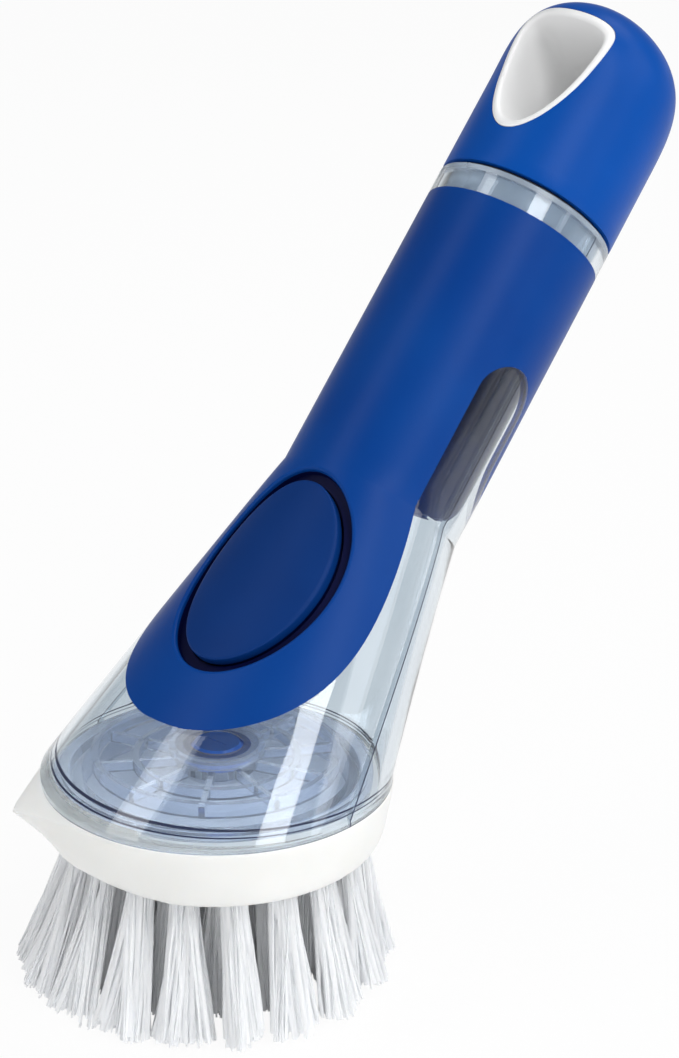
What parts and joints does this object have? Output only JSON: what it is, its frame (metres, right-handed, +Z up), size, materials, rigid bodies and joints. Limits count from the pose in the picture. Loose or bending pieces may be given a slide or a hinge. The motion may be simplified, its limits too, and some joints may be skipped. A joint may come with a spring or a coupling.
{
  "type": "dish wand",
  "caption": "Soap dispensing dish wand: a clear bottle handle with a soft grip, press pad and screw cap, on a round brush head with a scraper beak.",
  "frame": {"origin": "centre of the plane of the bristle tips, on the brush head's axis", "axes": "+Z up along the brush head's axis, -Y to the front with the press pad, the handle leans back towards +Y"},
  "size_m": [0.077, 0.1692, 0.1783],
  "materials": {
    "head_white": "satin",
    "bristle_white": "nylon bristle",
    "anchor_metal": "wire",
    "clear": "clear rigid plastic",
    "grip_blue": "soft touch",
    "pad_blue": "smooth soft touch",
    "cap_blue": "soft touch",
    "valve_blue": "silicone",
    "inner_dark": "satin",
    "seal_dark": "satin"
  },
  "bodies": {
    "bottle": {"front_shell": "clear", "rear_shell": "clear", "grip": "grip_blue", "base_plate": "clear", "valve": "valve_blue", "valve_ring": "clear", "pad_frame": "inner_dark", "pad_bellows": "inner_dark", "neck": "clear", "neck_gasket": "seal_dark"},
    "brush": {"brush_head": "head_white", "tufts_outer": "bristle_white", "tufts_middle": "bristle_white", "tufts_inner": "bristle_white", "tuft_anchors": "anchor_metal", "soap_nozzle": "head_white", "nozzle_seal": "seal_dark"},
    "pad": {"press_pad": "pad_blue", "pad_plate": "inner_dark"},
    "seal": {"cap_seal": "seal_dark"},
    "cap": {"cap_shell": "cap_blue", "cap_plug": "head_white", "hole_liner": "head_white"}
  },
  "joints": [
    {"name": "pad_press", "type": "slide", "parent": "bottle", "child": "pad", "axis": [0, 0.6574, -0.7536], "range_m": [0, 0.002], "stiffness_N_per_m": 1500, "deforming": ["pad_bellows"]},
    {"name": "cap_lift", "type": "slide", "parent": "bottle", "child": "seal", "axis": [0, 0.6909, 0.723], "range_m": [0, 0.0045]},
    {"name": "cap_turn", "type": "hinge", "parent": "seal", "child": "cap", "pos_m": [0, 0.0035, 0.0425], "axis": [0, 0.6909, 0.723], "range_deg": [0, 540]},
    {"name": "brush_turn", "type": "hinge", "parent": "bottle", "child": "brush", "pos_m": [0, 0, 0.0425], "axis": [0, 0, 1], "range_deg": [0, 36]}
  ],
  "couplings": [
    {"joint": "cap_turn", "follows": "cap_lift", "rad_per_m": 2094.4}
  ]
}
